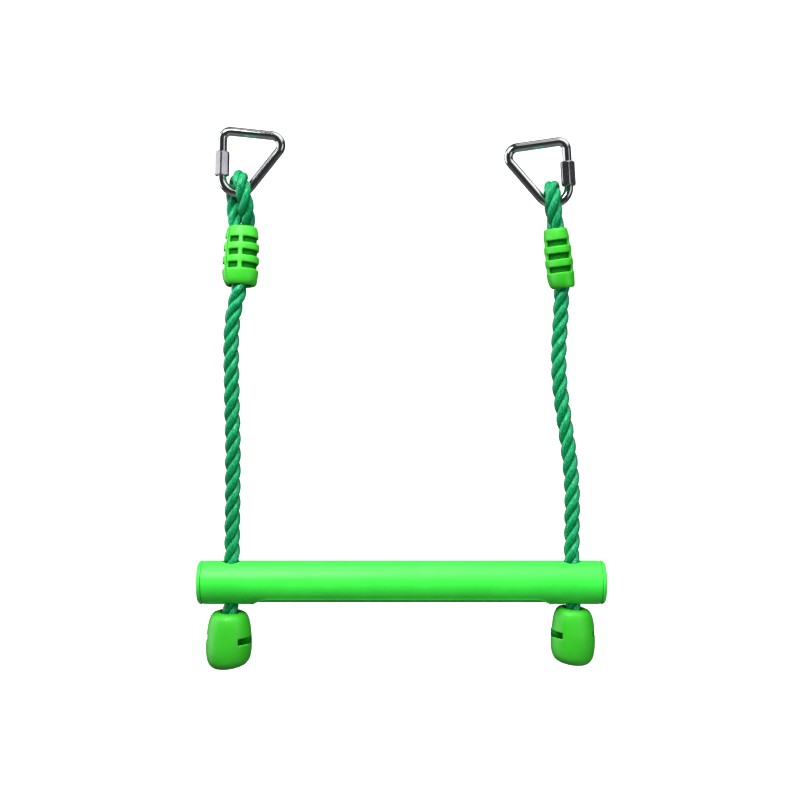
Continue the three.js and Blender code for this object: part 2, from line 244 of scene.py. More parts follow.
def circle(around):
    """The cosine and sine of evenly spaced angles round a circle."""
    angles = [2 * math.pi * i / around for i in range(around)]
    return [(math.cos(a), math.sin(a)) for a in angles]


def band(a, b, around):
    """Quads between the ring of points that starts at a and the one that starts at b."""
    return [(a + j, a + (j + 1) % around, b + (j + 1) % around, b + j) for j in range(around)]


def tube_faces(rings, around, offset=0):
    """Quads between rings of points, with one polygon closing each end."""
    faces = []
    for i in range(rings - 1):
        faces += band(offset + i * around, offset + (i + 1) * around, around)
    faces.append(tuple(offset + j for j in range(around))[::-1])
    faces.append(tuple(offset + (rings - 1) * around + j for j in range(around)))
    return faces


# ---- Rope ----------------------------------------------------------------------------------------
STRANDS = 3
STRAND_RADIUS = 0.468  # both of these are shares of the rope's radius
STRAND_CENTRE = 0.532
STRAND_SPREAD = 1.06  # strands press flat on each other, so each is wider than it is deep
YARNS = 9
YARN_POINTS = 5
YARN_DEPTH = 0.10
YARN_TURN = 0.19  # how fast the yarns turn round their strand, in radians a millimetre
ROPE_STEP = 0.7
EYE_LEG = 4.6  # how far each leg of the eye stands off the clamp's axis
EYE_SQUEEZE, SQUEEZE_FADE = 0.84, 7  # the doubled rope's size in the clamp, and where it recovers
ROPE_PHASE = {"left": 0.0, "right": 0.6}
EYE_PHASE = 0.4
KNOT_TURNS, KNOT_RADIUS, KNOT_TOP, KNOT_BOTTOM = 2.15, 5.6, 6.5, -8.0


def rope_mesh(path, radius_at, phase):
    """Vertices and faces of a three-strand rope laid up right-handed along a path.

    radius_at is the rope's radius at each point of the path.
    """
    along = along_of(path)
    tangent, normal, binormal = carried_frames(path)
    around = YARNS * YARN_POINTS
    angle = np.arange(around) / around * 2 * math.pi
    vertices, faces = [], []
    for strand in range(STRANDS):
        turn = phase + 2 * math.pi * (strand / STRANDS + along / LAY)
        outward = np.cos(turn)[:, None] * normal + np.sin(turn)[:, None] * binormal
        centre = path + outward * (radius_at * STRAND_CENTRE)[:, None]
        forward = unit(np.gradient(centre, axis=0))
        out = unit(outward - forward * np.sum(outward * forward, axis=1, keepdims=True))
        side = np.cross(forward, out)
        ridge = np.abs(np.cos(YARNS / 2 * (angle[None, :] + YARN_TURN * along[:, None])))
        size = (radius_at * STRAND_RADIUS)[:, None] * (1 - YARN_DEPTH * (1 - ridge))
        ring_out = size * np.cos(angle)[None, :]
        ring_side = size * np.sin(angle)[None, :] * STRAND_SPREAD
        points = (
            centre[:, None, :]
            + ring_out[:, :, None] * out[:, None, :]
            + ring_side[:, :, None] * side[:, None, :]
        )
        faces += tube_faces(len(path), around, len(vertices) * len(path) * around)
        vertices.append(points.reshape(-1, 3))
    return np.vstack(vertices), faces


def clamp_axis_point(side, along, height):
    """A point along the clamp's long axis, at a share of its half height."""
    return tuple(placed([(along, 0, height * CLAMP_HEIGHT / 2)], CLAMP_AT[side])[0])


def eye_route(side):
    """Up one side of the clamp, round the link's wire and down to the tail in the clamp."""
    leg = EYE_LEG
    before = [(0, -0.72), (1.2, -0.55), (3.2, -0.35), (leg - 0.4, -0.1), (leg, 0.3), (leg, 1)]
    after = [(-leg, 1), (-leg, 0.3), (-leg, -0.06), (-leg, -0.3)]
    return (
        [clamp_axis_point(side, x, h) for x, h in before]
        + EYE_LOOP[side]
        + [clamp_axis_point(side, x, h) for x, h in after]
    )


def free_rope_route(side):
    """From inside the bar's upper hole to a little way up inside the clamp."""
    return ROPE_ROUTE[side] + [clamp_axis_point(side, 0, h) for h in (-0.95, -0.78)]


# ---- Camera --------------------------------------------------------------------------------------
SENSOR_WIDTH = 36
VIEW_DISTANCE = 0.95
VIEW_WIDTH = 0.59032  # what the picture spans at the bar
VIEW_ABOVE_BAR = 0.134519
VIEW_CENTRE = (-0.0011, 0, BAR_Z * MM + VIEW_ABOVE_BAR)


def make_camera():
    data = bpy.data.cameras.new("camera")
    data.sensor_width = SENSOR_WIDTH
    data.lens = SENSOR_WIDTH * VIEW_DISTANCE / VIEW_WIDTH
    data.clip_start, data.clip_end = 0.01, 50
    camera = bpy.data.objects.new("camera", data)
    camera.location = (VIEW_CENTRE[0], -VIEW_DISTANCE, VIEW_CENTRE[2])
    camera.rotation_euler = (math.pi / 2, 0, 0)
    bpy.context.scene.collection.objects.link(camera)
    bpy.context.scene.camera = camera


# ---- Materials -----------------------------------------------------------------------------------
def set_range(node, start, end, low, high):
    """Sets a map range node to turn start to end into low to high."""
    ends = {"From Min": start, "From Max": end, "To Min": low, "To Max": high}
    for socket, value in ends.items():
        node.inputs[socket].default_value = value


class Nodes:
    """Builds one procedural material round a Principled shader."""

    def __init__(self, name, **sockets):
        self.material = bpy.data.materials.new(name)
        self.material.use_nodes = True
        self.tree = self.material.node_tree
        self.shader = self.tree.nodes["Principled BSDF"]
        for socket, value in sockets.items():
            self.shader.inputs[socket.replace("_", " ")].default_value = value
        self.place = self.add("ShaderNodeTexCoord").outputs["Object"]

    def add(self, kind, **settings):
        node = self.tree.nodes.new(kind)
        for key, value in settings.items():
            setattr(node, key, value)
        return node

    def link(self, source, target):
        self.tree.links.new(source, target)

    def stretched(self, scale):
        """The place, scaled by a vector."""
        node = self.add("ShaderNodeMapping")
        self.link(self.place, node.inputs["Vector"])
        node.inputs["Scale"].default_value = scale
        return node.outputs["Vector"]

    def noise(self, scale, detail=3.0, roughness=0.55, vector=None):
        node = self.add("ShaderNodeTexNoise")
        self.link(self.place if vector is None else vector, node.inputs["Vector"])
        node.inputs["Scale"].default_value = scale
        node.inputs["Detail"].default_value = detail
        node.inputs["Roughness"].default_value = roughness
        return node.outputs["Fac"]

    def ramp(self, factor, stops):
        node = self.add("ShaderNodeValToRGB")
        self.link(factor, node.inputs["Fac"])
        elements = node.color_ramp.elements
        while len(elements) < len(stops):
            elements.new(0.5)
        for element, (position, colour) in zip(elements, stops):
            element.position = position
            element.color = (*colour, 1)
        return node.outputs["Color"]

    def spread(self, factor, low, high, start=0.0, end=1.0):
        """A factor from start to end turned into a value from low to high."""
        node = self.add("ShaderNodeMapRange")
        self.link(factor, node.inputs["Value"])
        set_range(node, start, end, low, high)
        return node.outputs["Result"]

    def mix(self, factor, a, b, blend="MIX"):
        node = self.add("ShaderNodeMix", data_type="RGBA", blend_type=blend)
        for socket, value in ((0, factor), (6, a), (7, b)):
            if isinstance(value, (int, float)):
                node.inputs[socket].default_value = value
            elif isinstance(value, tuple):
                node.inputs[socket].default_value = (*value, 1)
            else:
                self.link(value, node.inputs[socket])
        return node.outputs[2]

    def colour(self, source):
        self.link(source, self.shader.inputs["Base Color"])

    def rough(self, source):
        self.link(source, self.shader.inputs["Roughness"])

    def bumps(self, *heights):
        """Chains bump nodes, each (height source, strength, distance in millimetres)."""
        normal = None
        for source, strength, distance in heights:
            bump = self.add("ShaderNodeBump")
            bump.inputs["Strength"].default_value = strength
            bump.inputs["Distance"].default_value = distance * MM
            self.link(source, bump.inputs["Height"])
            if normal is not None:
                self.link(normal, bump.inputs["Normal"])
            normal = bump.outputs["Normal"]
        self.link(normal, self.shader.inputs["Normal"])


def moulded_plastic(name, low, high, roughness, shine=0.6, grain_stretch=(1, 1, 1)):
    """Satin moulded plastic: cloudy pigment, a fine grain and faint rubs from handling."""
    made = Nodes(
        name,
        Specular_IOR_Level=shine,
        IOR=1.49,
        Subsurface_Weight=0.08,
        Subsurface_Radius=(0.3, 1.0, 0.2),
        Subsurface_Scale=0.002,
    )
    cloud = made.noise(38, detail=4)
    speck = made.noise(900, detail=2)
    pigment = made.ramp(cloud, [(0.3, low), (0.7, high)])
    made.colour(made.mix(made.spread(speck, 0.0, 0.10), pigment, tuple(0.72 * c for c in low)))
    rubs = made.noise(60, detail=6, roughness=0.7, vector=made.stretched(grain_stretch))
    made.rough(made.spread(rubs, roughness - 0.07, roughness + 0.09, 0.3, 0.7))
    grain = made.noise(1400, detail=3)
    waves = made.noise(75, detail=2)
    made.bumps((waves, 0.25, 0.5), (grain, 0.12, 0.05))
    return made.material


def rope_fibre():
    """Glossy polyethylene fibre: shiny along the yarns, with painted mint highlight streaks along
    the fibres over a darker emerald base.
    """
    made = Nodes(
        "rope_fibre",
        Specular_IOR_Level=0.9,
        Specular_Tint=(0.4, 1.0, 0.78, 1.0),
        IOR=1.5,
        Coat_Weight=0.12,
        Coat_Roughness=0.18,
        Subsurface_Weight=0.06,
        Subsurface_Radius=(0.2, 1.0, 0.5),
        Subsurface_Scale=0.002,
    )
    along = made.stretched((1, 1, 0.16))
    fibre_grain_and_painted_glints = made.noise(2600, detail=3, roughness=0.6, vector=along)
    cloud = made.noise(110, detail=3)
    base = made.ramp(cloud, [(0.25, (0.0, 0.13, 0.03)), (0.75, (0.0, 0.20, 0.052))])
    # The mint streaks mixed in along the fibres are painted highlights; the base ramp is the rope's
    # own emerald.
    made.colour(made.mix(made.spread(fibre_grain_and_painted_glints, 0.0, 0.80, 0.46, 0.74), base, (0.03, 0.60, 0.28)))
    made.rough(made.spread(fibre_grain_and_painted_glints, 0.18, 0.36))
    made.bumps((fibre_grain_and_painted_glints, 0.5, 0.12))
    return made.material


def plated_steel(name, roughness, mottle, tint, relief):
    """Bright plated steel with faint drawing lines and small pits in the plating."""
    made = Nodes(name, Metallic=1.0)
    pits = made.noise(520, detail=5, roughness=0.65)
    cloud = made.noise(90, detail=3)
    low = tuple(c * (1 - mottle) for c in tint)
    made.colour(made.ramp(cloud, [(0.3, low), (0.7, tint)]))
    made.rough(made.spread(pits, roughness * 0.7, roughness * 1.5, 0.3, 0.7))
    scratches = made.noise(700, detail=2, vector=made.stretched((1, 1, 0.08)))
    made.bumps((pits, relief, 0.05), (scratches, 0.05, 0.03))
    return made.material


BAR_PLASTIC = moulded_plastic(
    "bar_plastic", (0.034, 0.64, 0.044), (0.044, 0.74, 0.056), 0.38, grain_stretch=(0.25, 1, 1)
)
SHELL_PLASTIC = moulded_plastic(
    "shell_plastic", (0.030, 0.41, 0.016), (0.042, 0.49, 0.024), 0.36
)
# A darker copy of the shell plastic for the window linings and the cover tabs: painted shade inside
# the windows.
SHADE_PAINTED_PLASTIC = moulded_plastic(
    "shell_plastic_painted_shade", (0.001, 0.115, 0.002), (0.002, 0.155, 0.003), 0.60, shine=0.12
)
FIBRE = rope_fibre()
STEEL = plated_steel("link_steel", 0.09, 0.05, (0.82, 0.83, 0.84), 0.015)
NUT_STEEL = plated_steel("nut_steel", 0.15, 0.14, (0.66, 0.64, 0.70), 0.03)

make_camera()


# ---- The ropes -----------------------------------------------------------------------------------
def add_rope(name, route, phase, nodes, radius_at=None):
    """A rope along a route, and the path that it follows."""
    path = smooth_curve(route, ROPE_STEP)
    radius = np.full(len(path), ROPE_RADIUS) if radius_at is None else radius_at(path)
    piece = make_object(name, *rope_mesh(path, radius, phase), FIBRE)
    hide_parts(*nodes)
    return piece, path


for side in SIDES:
    piece, path = add_rope(
        f"{side}_free_rope", free_rope_route(side), ROPE_PHASE[side], [f"{side}_rope"]
    )
    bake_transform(piece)


def squeezed_in_clamp(side):
    """The doubled rope is squeezed inside the clamp and full size outside it."""

    def radius_at(path):
        top = clamp_axis_point(side, 0, 1)[2]
        share = eased(np.clip((path[:, 2] - top) / SQUEEZE_FADE, 0, 1))
        return ROPE_RADIUS * (EYE_SQUEEZE + (1 - EYE_SQUEEZE) * share)

    return radius_at


def knot_route(side):
    """Down through the bar and into close turns, the outside of a pulled-down stopper knot."""
    spot = COVER_AT[side]
    coil = []
    for share in np.linspace(0, 1, 30):
        angle = 2 * math.pi * KNOT_TURNS * share - math.pi / 2
        height = KNOT_TOP + (KNOT_BOTTOM - KNOT_TOP) * share
        coil.append((KNOT_RADIUS * math.cos(angle), KNOT_RADIUS * math.sin(angle), height))
    coil.append((1.0, 0.5, KNOT_BOTTOM - 1))
    lead = placed([(0, 0, 20.5), (0, -0.2, 16)], spot)
    return THROUGH_BAR[side] + [tuple(p) for p in lead] + [tuple(p) for p in placed(coil, spot)]


for side in SIDES:
    eye, _ = add_rope(
        f"{side}_eye",
        eye_route(side),
        ROPE_PHASE[side] + EYE_PHASE,
        [f"{side}_rope_eye"],
        squeezed_in_clamp(side),
    )
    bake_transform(eye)
    knot, _ = add_rope(
        f"{side}_knotted_end",
        knot_route(side),
        ROPE_PHASE[side],
        [f"{side}_rope_through_bar", f"{side}_stopper_knot"],
    )
    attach(knot, "bar")


# ---- Shells with windows -------------------------------------------------------------------------
SHELL_PARTS = {"front": 0, "back": 180}  # how far round each half of a pair is turned
SHELL_STEP, SHELL_TURN = 1.5, 7  # the grid's steps in millimetres and in degrees
TIP = 0.05  # the least radius of a turned shape, where it ends at its axis


def shell(name, surface, across, down, windows, wall, material):
    """A thin moulded shell: a grid of points on a surface, less its windows, thickened and rounded.

    surface gives a point from an angle and a place down the shell, and each window is
    (low angle, high angle, low place, high place) on lines of the grid.
    """
    points = np.array([surface(a, d) for d in down for a in across])
    width = len(across)
    faces = []
    for j in range(len(down) - 1):
        for i in range(width - 1):
            a, d = (across[i] + across[i + 1]) / 2, (down[j] + down[j + 1]) / 2
            if any(w[0] < a < w[1] and w[2] < d < w[3] for w in windows):
                continue
            k = j * width + i
            faces.append((k, k + 1, k + width + 1, k + width))
    piece = make_object(name, points, faces, material)
    work = bmesh.new()
    work.from_mesh(piece.data)
    bmesh.ops.remove_doubles(work, verts=work.verts, dist=1e-6)
    bmesh.ops.delete(work, geom=[v for v in work.verts if not v.link_faces], context="VERTS")
    work.to_mesh(piece.data)
    work.free()
    thick = piece.modifiers.new("wall", "SOLIDIFY")
    thick.thickness = wall * MM
    thick.offset = -1
    thick.use_even_offset = True
    rounded = piece.modifiers.new("rounded", "SUBSURF")
    rounded.levels = rounded.render_levels = 2
    return applied(piece)


# ---- Rope clamps ---------------------------------------------------------------------------------
CLAMP_LONG, CLAMP_SHORT, CLAMP_WALL = 13.4, 9.6, 1.9
CLAMP_BODY = [(0.99, -0.56), (1, -0.1), (0.97, 0.36), (0.9, 0.76), (0.84, 0.94), (0.79, 1)]
CLAMP_FOOT = [(0.6, -1), (0.78, -0.95), (0.92, -0.8)]
CLAMP_SQUARE_FOOT = [(0.80, -1), (0.92, -0.96), (0.965, -0.8)]
SQUARE_SIDE = 170  # the angle round which the foot is square
SQUARE_START, SQUARE_FULL = -0.17, 0.33  # cosines of the angle from there
WINDOW_HEIGHT, WINDOW_PITCH, WINDOW_MIDDLE = 3.7, 9.8, 1.6
WINDOW_ENDS = (-50, 112)  # the angles between which the windows lie
WINDOW_ROUNDING = 0.2  # what the shell's rounding takes off each edge of a window
SPINE = {"left": (-8, 13), "right": (-15, 5)}  # the angles of the upright between two windows
RIB_SWELL, RIB_REACH = 0.12, 1.7
# The inner wall that closes the windows off from the rope; it takes a darker copy of the plastic
# that paints the shade inside the windows.
LINING_DEPTH, LINING_WALL, LINING_RAMP = 2.1, 0.8, 1.6
LINING_ROOT = CLAMP_WALL - 0.5
LINING_REACH = WINDOW_PITCH + WINDOW_HEIGHT / 2 + 2.2
CLAMP_SEAM, CLAMP_SEAM_HALF = 122, 1.2
CLAMP_RIM = 0.7


def profile_curve(points, step=0.25):
    """A smooth curve through (radius, height) points."""
    path = smooth_curve([(r, 0, z) for r, z in points], step)
    return path[:, 0], path[:, 2]


def clamp_surface(side, inset=lambda z: 0):
    """The clamp's oval surface, less an inset, with its foot soft on one side and square on one."""
    half = CLAMP_HEIGHT / 2
    feet = [
        profile_curve([(r * CLAMP_LONG, z * half) for r, z in foot + CLAMP_BODY])
        for foot in (CLAMP_FOOT, CLAMP_SQUARE_FOOT)
    ]

    def at(angle, z):
        soft, square = (np.interp(z, height, radius) / CLAMP_LONG for radius, height in feet)
        facing = math.cos(math.radians(angle - SQUARE_SIDE))
        share = soft + (square - soft) * eased(climbed(facing, SQUARE_START, SQUARE_FULL))
        sin, cos = math.sin(math.radians(angle)), math.cos(math.radians(angle))
        reach = share / math.sqrt((sin / CLAMP_LONG) ** 2 + (cos / CLAMP_SHORT) ** 2)
        off = (z - WINDOW_MIDDLE) / WINDOW_PITCH
        swell = RIB_SWELL * math.cos(2 * math.pi * off) * math.exp(-((off / RIB_REACH) ** 8))
        reach -= swell + inset(z)
        return (reach * sin, -reach * cos, z)

    return lambda angle, z: placed([at(angle, z)], CLAMP_AT[side])[0]


def lining_inset(z):
    """The inner wall meets the shell above and below the windows and stands off it behind them."""
    near = LINING_REACH - abs(z - WINDOW_MIDDLE)
    return LINING_ROOT + (LINING_DEPTH - LINING_ROOT) * eased(climbed(near, 0, LINING_RAMP))


def joined(piece, other):
    """The first object with the second one's mesh and material added to it."""
    work = bmesh.new()
    work.from_mesh(piece.data)
    own = len(work.faces)
    work.from_mesh(other.data)
    work.faces.ensure_lookup_table()
    for face in work.faces[own:]:
        face.material_index = 1
    piece.data.materials.append(other.data.materials[0])
    work.to_mesh(piece.data)
    work.free()
    piece.data.shade_smooth()
    bpy.data.objects.remove(other)
    return piece


def clamp_piece(side, part):
    """One half of a clamp, with its lining in the darker plastic that paints shade in the windows.
    """
    turn, half = SHELL_PARTS[part], CLAMP_HEIGHT / 2
    first, last = WINDOW_ENDS
    before, after = SPINE[side]
    levels, windows = [-half, -half + CLAMP_RIM], []
    for row in (-1, 0, 1):
        middle, reach = WINDOW_MIDDLE + row * WINDOW_PITCH, WINDOW_HEIGHT / 2 + WINDOW_ROUNDING
        low, high = middle - reach, middle + reach
        levels += [low, high]
        windows.append((turn + first, turn + before, low, high))
        windows.append((turn + after, turn + last, low, high))
    down = spans(levels + [half - CLAMP_RIM, half], SHELL_STEP)
    seams = CLAMP_SEAM - 180 + CLAMP_SEAM_HALF, CLAMP_SEAM - CLAMP_SEAM_HALF
    edges = [seams[0], first, before, after, last, seams[1]]
    across = spans([turn + e for e in edges], SHELL_TURN)
    surface = clamp_surface(side)
    name = f"{side}_clamp_{part}"
    piece = shell(name, surface, across, down, windows, CLAMP_WALL, SHELL_PLASTIC)
    low, high = WINDOW_MIDDLE - LINING_REACH, WINDOW_MIDDLE + LINING_REACH
    down = spans([low, low + LINING_RAMP, high - LINING_RAMP, high], SHELL_STEP)
    surface = clamp_surface(side, lining_inset)
    # The lining takes the darker plastic, painted shade behind the windows.
    joined(piece, shell("lining", surface, across, down, [], LINING_WALL, SHADE_PAINTED_PLASTIC))
    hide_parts(f"{side}_clamp_{part}_shell")
    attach(piece, f"{side}_hanger")


for side in SIDES:
    for part in SHELL_PARTS:
        clamp_piece(side, part)

# ---- Knot covers ---------------------------------------------------------------------------------
COVER_HALF, COVER_WALL = 20.8, 1.8
COVER_PROFILE = [
    (6.6, 20.5), (7.4, 20.8), (10.6, 20.7), (12.6, 19.6), (14.2, 17.2), (15.5, 13), (16.7, 5),
    (17.2, -2.5), (16.9, -10.2), (15.5, -15.8), (12.4, -19.3), (8.4, -20.7), (4, -20.8),
    (TIP, -20.8),
]
COVER_WIDTH = {"left": 1.0, "right": 0.965}
COVER_SEAM_HALF = 1.3
COVER_STEP = 6  # the grid's step down the shell, in points of its profile
BACK_STEP = 0.4  # how much smaller the back shell is
# The windows at the two sides of the front shell, and the back shell's tab behind each.
SNAP_ANGLE, SNAP_HALF, SNAP_HEIGHT = 67, 20.5, 4.4
SNAP_MIDDLE = {"left": 1.5, "right": 2.7}
TAB_RADIUS, TAB_RISE, TAB_RAMP = 14.0, 2.9, (60, 80)  # the ramp is between two angles
TAB_ROOT, TAB_THICK, TAB_MARGIN = 101, 1.3, 0.6


def cover_surface(side, inset):
    """The cover's surface by angle and by point of its profile, and the points' heights."""
    radius, height = profile_curve(COVER_PROFILE)
    radius = np.maximum(radius * COVER_WIDTH[side] - inset, TIP)
    spot = COVER_AT[side]
    turn = math.radians(spot["turn"])

    def at(angle, index):
        r, z = radius[int(index)], height[int(index)]
        a = math.radians(angle)
        x, y = r * math.sin(a), -r * math.cos(a)
        sideways = x * math.cos(turn) + y * math.sin(turn)
        end = z / COVER_HALF
        return (x, y, z + COVER_SLANT[side][0 if z < 0 else 1] * sideways * end * end)

    radius, height = radius[::-1], height[::-1]
    return (lambda angle, index: placed([at(angle, index)], spot)[0]), height


def snap_tab(side, sign):
    """The back shell's tab behind one window: a tongue that ramps out to its root in the wall."""
    middle, reach = SNAP_MIDDLE[side], SNAP_HEIGHT / 2 + TAB_MARGIN
    low, high = middle - reach, middle + reach
    points = []
    angles = np.linspace(SNAP_ANGLE - SNAP_HALF - 1, TAB_ROOT, 18)
    for a in angles:
        s, c = math.sin(math.radians(a * sign)), -math.cos(math.radians(a * sign))
        outside = (TAB_RADIUS + TAB_RISE * climbed(a, *TAB_RAMP)) * COVER_WIDTH[side]
        inside = outside - TAB_THICK
        for r, z in ((inside, low), (outside, low), (outside, high), (inside, high)):
            points.append((r * s, r * c, z))
    faces = tube_faces(len(angles), 4)
    # The tab takes the darker plastic, painted shade inside the cover's window.
    tab = make_object("tab", placed(points, COVER_AT[side]), faces, SHADE_PAINTED_PLASTIC)
    return recalculated(tab)


def cover_piece(side, part):
    """One half of a knot cover: the front has the two windows and the back has the tabs."""
    turn = SHELL_PARTS[part]
    surface, height = cover_surface(side, BACK_STEP if part == "back" else 0)
    ends = (SNAP_MIDDLE[side] - SNAP_HEIGHT / 2, SNAP_MIDDLE[side] + SNAP_HEIGHT / 2)
    low, high = (int(np.argmin(np.abs(height - z))) for z in ends)
    down = spans([0, low, high, len(height) - 1], COVER_STEP).round().astype(int)
    near, far = SNAP_ANGLE - SNAP_HALF, SNAP_ANGLE + SNAP_HALF
    edges = [-90 + COVER_SEAM_HALF, -far, -near, near, far, 90 - COVER_SEAM_HALF]
    across = spans([turn + e for e in edges], SHELL_TURN)
    windows = [(-far, -near, low, high), (near, far, low, high)] if part == "front" else []
    name = f"{side}_knot_cover_{part}"
    piece = shell(name, surface, across, down, windows, COVER_WALL, SHELL_PLASTIC)
    if part == "back":
        for sign in (-1, 1):
            joined(piece, snap_tab(side, sign))
    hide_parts(f"{side}_knot_cover_{part}_shell")
    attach(piece, f"{side}_cover")


for side in SIDES:
    for part in SHELL_PARTS:
        cover_piece(side, part)

# ---- The bar -------------------------------------------------------------------------------------
PANEL_HALF_LENGTH, PANEL_HALF_WIDTH, PANEL_CORNER, PANEL_DEPTH = 109, 12.2, 12.1, 1.3
LIP_HEIGHT, LIP_WIDTH, LIP_OUT = 0.4, 0.6, 1.0
PANEL_EDGE = 0.9  # the width of the rounded step at the panel's edge
BAR_EDGE = 0.35  # the rounding of the tube's ends
HOLE_FLARE, FLARE_FROM, FLARE_TO = 1.4, 15.6, 17.4  # from and to are distances from the axis
CAP_FLANGE, CAP_GAP, CAP_ROUND, CAP_DOME, CAP_CHAMFER = 3.3, 0.45, 2.6, 0.2, 0.3
PLUG_GAP, PLUG_WALL, PLUG_LENGTH = 0.3, 2, 12
FACE_RADIUS = 14.8


def panel_drop(x, arc):
    """How far the underside's panel is sunk at a place along the bar and round from its bottom."""
    dx = abs(x) - (PANEL_HALF_LENGTH - PANEL_CORNER)
    dy = abs(arc) - (PANEL_HALF_WIDTH - PANEL_CORNER)
    outside = math.hypot(max(dx, 0), max(dy, 0)) + min(max(dx, dy), 0) - PANEL_CORNER
    share = eased(climbed(outside, PANEL_EDGE / 2, -PANEL_EDGE / 2))
    lip = LIP_HEIGHT * math.exp(-(((outside - LIP_OUT) / LIP_WIDTH) ** 2))
    return PANEL_DEPTH * share - lip


def bar_piece():
    """The tube, on a grid that is finest at the edges of the panel, with its two rope holes."""
    half = BAR_HALF - CAP_FLANGE - CAP_GAP
    near, far = PANEL_HALF_LENGTH - PANEL_CORNER - 2, PANEL_HALF_LENGTH + 2.5
    xs = np.concatenate([
        spans([-half, -far], 2.0), spans([-far, -near], 0.4)[1:], spans([-near, near], 4.0)[1:],
        spans([near, far], 0.4)[1:], spans([far, half], 2.0)[1:],
    ])
    edge = math.degrees(PANEL_HALF_WIDTH / BAR_RADIUS)
    corner = math.degrees((PANEL_HALF_WIDTH - PANEL_CORNER) / BAR_RADIUS)
    fine = spans([corner - 6, edge + 9], 1.3)
    angles = np.concatenate([
        spans([-180, -edge - 9], 3.5), -fine[::-1][1:-1], spans([-corner + 6, corner - 6], 3.5),
        fine[1:-1], spans([edge + 9, 180], 3.5)[:-1],
    ])
    angles = np.unique(np.round(angles, 4))
    outer = []
    for x in xs:
        for a in angles:
            drop = panel_drop(x, math.radians(a) * BAR_RADIUS)
            end = max(0, abs(x) - half + BAR_EDGE)
            r = BAR_RADIUS - drop - (BAR_EDGE - math.sqrt(max(0, BAR_EDGE**2 - end**2)))
            s, c = math.sin(math.radians(a)), math.cos(math.radians(a))
            outer.append((x, r * s, BAR_Z - r * c))
    inside = BAR_RADIUS - BAR_WALL
    inner = [
        (x, inside * math.sin(math.radians(a)), BAR_Z - inside * math.cos(math.radians(a)))
        for x in (xs[0], xs[-1])
        for a in angles
    ]
    n, rows = len(angles), len(xs)
    faces = []
    for i in range(rows - 1):
        faces += band(i * n, (i + 1) * n, n)
    first, last = rows * n, rows * n + n
    for j in range(n):
        k = (j + 1) % n
        faces.append((first + j, last + j, last + k, first + k))
        faces.append((j, first + j, first + k, k))
        faces.append(((rows - 1) * n + j, (rows - 1) * n + k, last + k, last + j))
    piece = recalculated(make_object("grip_bar", outer + inner, faces, BAR_PLASTIC))
    for x in (-HOLE_X, HOLE_X):
        cut_hole(piece, x)
    return piece


def cut_hole(piece, x):
    """A rope hole down through both walls, with a small flare where it meets each face."""
    wide, around = HOLE_RADIUS + HOLE_FLARE, 48
    profile = [
        (wide, -FLARE_TO), (HOLE_RADIUS, -FLARE_FROM), (HOLE_RADIUS, FLARE_FROM), (wide, FLARE_TO)
    ]
    points = [(x + r * c, r * s, BAR_Z + z) for r, z in profile for c, s in circle(around)]
    faces = tube_faces(len(profile), around)
    cutter = recalculated(make_object("cutter", points, faces, BAR_PLASTIC))
    cut = piece.modifiers.new("hole", "BOOLEAN")
    cut.operation = "DIFFERENCE"
    cut.solver = "EXACT"
    cut.object = cutter
    applied(piece)
    bpy.data.objects.remove(cutter)


bar = bar_piece()
bar.data.set_sharp_from_angle(angle=math.radians(32))
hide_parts("bar_tube")
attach(bar, "bar")


def lathe(profile, around):
    """Rings of points about +X from (radius, x) pairs, and their faces."""
    points = [(x, r * c, r * s) for r, x in profile for c, s in circle(around)]
    return np.array(points), tube_faces(len(profile), around)


def cap_piece(side):
    """A plug with a flange as wide as the bar, rounded at its edge and very slightly domed."""
    sign = -1 if side == "left" else 1
    face, seat = BAR_HALF, BAR_HALF - CAP_FLANGE
    plug = BAR_RADIUS - BAR_WALL - PLUG_GAP
    shoulder = face - CAP_DOME - CAP_ROUND
    rounding = [
        (BAR_RADIUS - CAP_ROUND * (1 - math.cos(t)), shoulder + CAP_ROUND * math.sin(t))
        for t in np.linspace(0, math.pi / 2, 12)
    ]
    dome = [(r, face - CAP_DOME * (r / FACE_RADIUS) ** 2) for r in (12.6, 11, 9, 6, 3, TIP)]
    profile = [
        (TIP, seat), (plug - PLUG_WALL, seat), (plug - PLUG_WALL, seat - PLUG_LENGTH),
        (plug, seat - PLUG_LENGTH), (plug, seat), (BAR_RADIUS - CAP_CHAMFER, seat),
        (BAR_RADIUS, seat + CAP_CHAMFER), *rounding, *dome,
    ]
    points, faces = lathe(profile, 96)
    points[:, 0] *= sign
    points[:, 2] += BAR_Z
    piece = recalculated(make_object(f"{side}_cap", points, faces, BAR_PLASTIC))
    piece.data.set_sharp_from_angle(angle=math.radians(40))
    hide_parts(f"{side}_end_cap")
    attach(piece, "bar")


for side in SIDES:
    cap_piece(side)

# ---- The links -----------------------------------------------------------------------------------
WIRE_RADIUS = 3.3
LINK_TOP, LINK_ROPE = (49.5, -4.1), (0.0, -69.2)
LINK_BENDS = {"gate": 5.7, "top": 7.1, "rope": 11.9}
ROPE_BEND = (11.9, -33.9)
GATE_LOW, GATE_HIGH = -31.2, -24.0
NUT_FLATS, NUT_LENGTH, NUT_BORE, NUT_LOW = 10.0, 17.8, 3.6, -33.4
NUT_CHAMFER, NUT_SLOPE, NUT_BLUNT = 0.25, 0.85, 0.12  # how the ends and corners are turned down
NUT_LEAD = 0.5  # the depth and width of the bore's lead-in
THREAD_PITCH, THREAD_DEPTH = 0.9, 0.28
THREAD_LOW, THREAD_HIGH, THREAD_FADE = -33.6, -16.2, 0.8
WIRE_CHAMFER = 0.6


